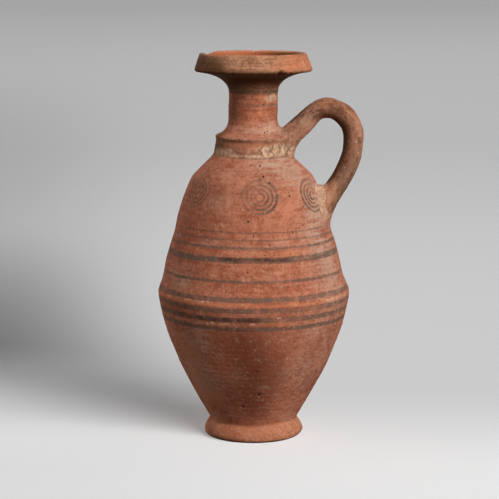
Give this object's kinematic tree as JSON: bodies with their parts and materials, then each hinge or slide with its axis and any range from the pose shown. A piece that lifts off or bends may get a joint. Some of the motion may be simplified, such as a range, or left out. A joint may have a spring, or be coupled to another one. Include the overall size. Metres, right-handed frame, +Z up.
{
  "type": "terracotta jug",
  "caption": "Wheel-thrown terracotta jug with a disc foot, two-coned belly, collared neck, dish mouth with overhanging rim, and a round loop handle, painted with bands and concentric circles.",
  "frame": {"origin": "centre of the foot's flat underside, on the wheel's axis", "axes": "+Z up along the wheel's axis; the handle lies in the XZ plane towards +X; +Y across it"},
  "size_m": [0.1614, 0.15, 0.3],
  "materials": {
    "bare_clay": "matt unpainted terracotta",
    "red_slip": "matt worn red slip with dark painted bands",
    "pale_slip": "matt pale slip, stained",
    "worn_slip": "matt red slip worn to brown clay"
  },
  "bodies": {
    "root": {"foot": "bare_clay", "lower_body": "red_slip", "upper_body": "red_slip", "collar": "pale_slip", "neck": "red_slip", "mouth": "worn_slip", "rim": "worn_slip", "handle": "worn_slip", "upper_handle_pad": "worn_slip", "lower_handle_pad": "pale_slip"}
  },
  "joints": []
}
